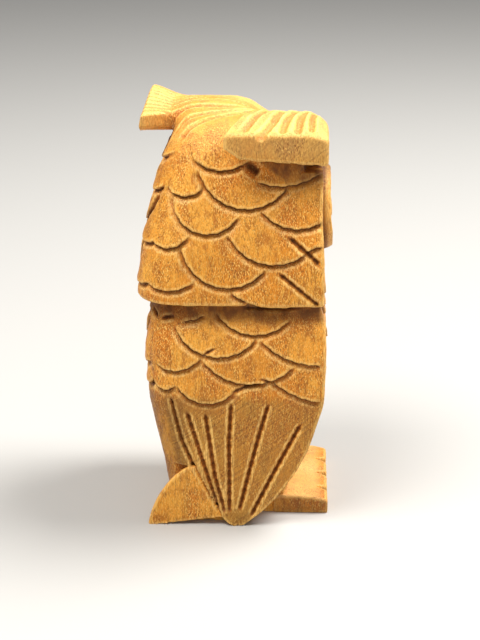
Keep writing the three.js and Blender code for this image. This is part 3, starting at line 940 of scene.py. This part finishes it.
class Graph:
    """Short hand for building a material's nodes."""

    def __init__(self, material):
        material.use_nodes = True
        self.tree = material.node_tree
        self.shader = self.tree.nodes["Principled BSDF"]
        self.place = self.add("ShaderNodeTexCoord").outputs["Object"]

    def add(self, kind, **settings):
        node = self.tree.nodes.new(kind)
        for name, value in settings.items():
            setattr(node, name, value)
        return node

    def feed(self, socket, value):
        if isinstance(value, bpy.types.NodeSocket):
            self.tree.links.new(value, socket)
        else:
            socket.default_value = value

    def attribute(self, name):
        return self.add("ShaderNodeAttribute", attribute_name=name).outputs["Fac"]

    def noise(self, across, along, detail, roughness=0.5, distortion=0.0):
        stretched = self.add("ShaderNodeMapping")
        self.feed(stretched.inputs["Vector"], self.place)
        self.feed(stretched.inputs["Scale"], (across, across, along))
        node = self.add("ShaderNodeTexNoise")
        for name, setting in (("Vector", stretched.outputs["Vector"]), ("Scale", 1.0),
                              ("Detail", detail), ("Roughness", roughness),
                              ("Distortion", distortion)):
            self.feed(node.inputs[name], setting)
        return node.outputs["Fac"]

    def math(self, operation, *values):
        node = self.add("ShaderNodeMath", operation=operation)
        for socket, value in zip(node.inputs, values):
            self.feed(socket, value)
        return node.outputs["Value"]

    def times(self, first, *rest):
        """The product of two or more values."""
        for value in rest:
            first = self.math("MULTIPLY", first, value)
        return first

    def span(self, value, low, high, out_low=0.0, out_high=1.0):
        """A value's smooth change from one end of a range to the other."""
        node = self.add("ShaderNodeMapRange", interpolation_type="SMOOTHSTEP")
        for name, setting in (("Value", value), ("From Min", low), ("From Max", high),
                              ("To Min", out_low), ("To Max", out_high)):
            self.feed(node.inputs[name], setting)
        return node.outputs["Result"]

    def mix(self, amount, a, b):
        node = self.add("ShaderNodeMix", data_type="RGBA")
        self.feed(node.inputs[0], amount)
        self.feed(node.inputs[6], a)
        self.feed(node.inputs[7], b)
        return node.outputs[2]


def rgb(red, green, blue):
    return (red, green, blue, 1.0)


def timber_coats(g, grain):
    """The bare timber's colour variation, as coats of (amount, colour) from the first on."""
    return [
        (g.span(grain.patches, 0.46, 0.66, 0.0, 0.75), rgb(0.53, 0.14, 0.008)),
        (g.span(grain.mottle, 0.50, 0.66, 0.0, 0.75), rgb(0.42, 0.13, 0.012)),
        (g.span(grain.streaks, 0.50, 0.66, 0.0, 0.55), rgb(0.36, 0.13, 0.014)),
        (g.span(grain.fibres, 0.50, 0.70, 0.0, 0.50), rgb(0.88, 0.49, 0.085)),
    ]


def worked_coats(g, grain, layer):
    """How carving, sawing and wear change the colour, with painted shade and painted highlights, as
    coats of (amount, colour).
    """
    # painted highlight, with some wear, paling the tops
    top_highlight_and_wear = g.times(layer.pale, g.span(grain.clouds, 0.3, 0.6, 0.5, 1.0))
    # the sawn faces' own greyer tone, darkened also as painted shade on the wing's fan
    sawn_grey_and_shade = g.times(layer.sawn, g.span(grain.clouds, 0.25, 0.75, 0.45, 0.90))
    reddened = g.times(layer.stain, g.span(grain.clouds, 0.3, 0.65, 0.85, 0.45))
    # painted shade in the surface's hollows
    hollow_shade = g.times(g.span(layer.ridge, -0.15, -0.9), 0.5)
    carved = g.span(layer.sawn, 0.0, 0.9, 1.0, 0.45)
    torn = g.span(grain.patches, 0.40, 0.60, 0.45, 1.0)
    bright = g.times(torn, g.span(grain.flecks, 0.53, 0.67, 0.0, 0.80), carved)
    open_pores = g.times(torn, g.span(grain.pores, 0.52, 0.66, 0.0, 0.80))
    worn = g.times(g.span(layer.ridge, 0.25, 0.9), g.span(grain.fibres, 0.35, 0.6, 0.1, 0.75))
    # painted highlight along the cuts' edges
    lip_highlights = g.times(layer.burr, g.span(grain.fibres, 0.40, 0.62, 0.10, 0.85), carved,
                   g.span(grain.mottle, 0.35, 0.60, 0.35, 1.0))
    # painted shade under the rim and the tufts, low on the back and on the feet's near ends
    painted_shade_amount = g.times(layer.grime, g.span(grain.mottle, 0.3, 0.65, 0.6, 0.95))
    # painted shade in the bottoms of the cuts and rings
    cut_shade = g.times(layer.dark, g.span(grain.streaks, 0.25, 0.6, 1.0, 0.85))
    return [
        (top_highlight_and_wear, rgb(0.98, 0.66, 0.26)),
        (sawn_grey_and_shade, rgb(0.32, 0.155, 0.026)),
        (reddened, rgb(0.5, 0.125, 0.01)),
        (hollow_shade, rgb(0.48, 0.13, 0.01)),
        (bright, rgb(0.98, 0.62, 0.16)),
        (open_pores, rgb(0.2, 0.06, 0.008)),
        (worn, rgb(0.9, 0.54, 0.15)),
        (lip_highlights, rgb(0.94, 0.62, 0.23)),
        (painted_shade_amount, rgb(0.15, 0.052, 0.01)),
        (cut_shade, rgb(0.06, 0.018, 0.004)),
    ]


def saw_marks(g):
    """Fine slanting lines, as a saw leaves them."""
    across = g.add("ShaderNodeVectorMath", operation="DOT_PRODUCT")
    g.feed(across.inputs[0], g.place)
    g.feed(across.inputs[1], SAW_DIRECTION)
    lines = g.add("ShaderNodeTexNoise", noise_dimensions="1D")
    g.feed(lines.inputs["W"], across.outputs["Value"])
    g.feed(lines.inputs["Scale"], SAW_MARKS)
    return lines.outputs["Fac"]


def bump(g, grain, layer):
    """Raised fibres, sunk pores, tool chatter and, on the sawn faces, saw marks."""
    surface = g.math("ADD", g.times(grain.fibres, 0.9), g.times(grain.tool, 0.8))
    surface = g.math("ADD", surface, g.times(grain.pores, -0.6))
    surface = g.math("ADD", surface, g.times(saw_marks(g), layer.sawn, 1.6))
    node = g.add("ShaderNodeBump")
    g.feed(node.inputs["Height"], surface)
    g.feed(node.inputs["Strength"], 0.9)
    g.feed(node.inputs["Distance"], BUMP_HEIGHT)
    return node.outputs["Normal"]


def wood():
    """Oiled pale timber: upright fibres, flecks, painted shade in the gouge bottoms, painted
    highlights along the cuts' edges.
    """
    material = bpy.data.materials.new("carved_wood")
    g = Graph(material)
    layer = SimpleNamespace(**{name: g.attribute(name) for name in LAYERS})
    grain = SimpleNamespace(**{name: g.noise(*settings) for name, settings in GRAIN.items()})
    light = g.span(grain.clouds, 0.35, 0.65)
    colour = g.mix(light, rgb(0.66, 0.225, 0.014), rgb(0.8, 0.35, 0.042))
    for amount, tint in timber_coats(g, grain) + worked_coats(g, grain, layer):
        colour = g.mix(amount, colour, tint)
    rough = g.math("MAXIMUM", g.span(grain.fibres, 0.3, 0.7, 0.40, 0.62), g.times(layer.dark, 0.85))
    g.feed(g.shader.inputs["Base Color"], colour)
    g.feed(g.shader.inputs["Roughness"], rough)
    g.feed(g.shader.inputs["Specular IOR Level"], 0.28)
    g.feed(g.shader.inputs["Normal"], bump(g, grain, layer))
    return material


# ---- the studio ----

FLOOR_REACH = 3.0  # metres from the middle to each side
LIGHT_TARGET = (0.0, 0.0, 0.055)
# Name, azimuth, elevation, distance, size, watts and colour.
LIGHTS = [
    ("key", 180.0, 64.0, 0.8, 0.4, 7.0, (1.0, 0.97, 0.92)),
    ("back", 335.0, 60.0, 0.8, 0.4, 11.0, (1.0, 0.98, 0.94)),
    ("fill", 240.0, 25.0, 0.9, 0.5, 0.75, (1.0, 0.98, 0.95)),
]
CAMERA_AZIMUTH = 227.2  # degrees
CAMERA_ELEVATION = 19.5
CAMERA_DISTANCE = 0.433
CAMERA_AIM = 0.0019, 0.051  # how far off the axis and how high the camera looks
SENSOR_HEIGHT = 24.0  # mm
FOCAL_LENGTH = 58.2375  # mm


def backdrop():
    """Even, nearly white light from all round."""
    scene = bpy.context.scene
    scene.view_settings.view_transform = "Standard"
    scene.world = bpy.data.worlds.new("studio")
    scene.world.use_nodes = True
    background = scene.world.node_tree.nodes["Background"]
    background.inputs["Color"].default_value = rgb(1.0, 0.99, 0.97)
    background.inputs["Strength"].default_value = 0.32


def floor():
    """A plain pale floor, which isn't part of the owl."""
    near, far = -FLOOR_REACH, FLOOR_REACH
    mesh = bpy.data.meshes.new("floor")
    corners = [(near, near, 0), (far, near, 0), (far, far, 0), (near, far, 0)]
    mesh.from_pydata(corners, [], [(0, 1, 2, 3)])
    pale = bpy.data.materials.new("pale_floor")
    pale.use_nodes = True
    shader = pale.node_tree.nodes["Principled BSDF"]
    shader.inputs["Base Color"].default_value = rgb(0.44, 0.435, 0.425)
    shader.inputs["Roughness"].default_value = 0.8
    mesh.materials.append(pale)
    ground = bpy.data.objects.new("floor", mesh)
    bpy.context.scene.collection.objects.link(ground)


def aimed(thing, place, target):
    """Put a light or the camera at a place, looking at a target."""
    thing.location = place
    thing.rotation_euler = (Vector(target) - Vector(place)).to_track_quat("-Z", "Y").to_euler()


def on_sphere(azimuth, elevation, distance, target):
    """A place at an azimuth and elevation in degrees round a target."""
    a, e = math.radians(azimuth), math.radians(elevation)
    back = (math.sin(a) * math.cos(e), -math.cos(a) * math.cos(e), math.sin(e))
    return [t + distance * b for t, b in zip(target, back)]


def softbox(name, azimuth, elevation, distance, size, power, colour):
    data = bpy.data.lights.new(name, "AREA")
    data.shape = "DISK"
    data.size = size
    data.energy = power
    data.color = colour
    light = bpy.data.objects.new(name, data)
    bpy.context.scene.collection.objects.link(light)
    aimed(light, on_sphere(azimuth, elevation, distance, LIGHT_TARGET), LIGHT_TARGET)


def camera():
    """A camera that sees the owl from behind, as in the photograph."""
    data = bpy.data.cameras.new("camera")
    data.sensor_fit = "VERTICAL"
    data.sensor_height = SENSOR_HEIGHT
    data.lens = FOCAL_LENGTH
    data.clip_start = 0.01
    viewer = bpy.data.objects.new("camera", data)
    bpy.context.scene.collection.objects.link(viewer)
    aside, height = CAMERA_AIM
    target = (-aside * math.sqrt(0.5), -aside * math.sqrt(0.5), height)
    aimed(viewer, on_sphere(CAMERA_AZIMUTH, CAMERA_ELEVATION, CAMERA_DISTANCE, target), target)
    bpy.context.scene.camera = viewer


camera()
backdrop()
floor()
for settings in LIGHTS:
    softbox(*settings)

block, across_axis, up_axis = carved_block()
pieces = part_block(block, across_axis, up_axis)
carved_wood = wood()
for node, _, slot in PIECES:
    piece = pieces[node]
    piece.data.materials.append(carved_wood)
    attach(piece, "root")
    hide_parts(node)
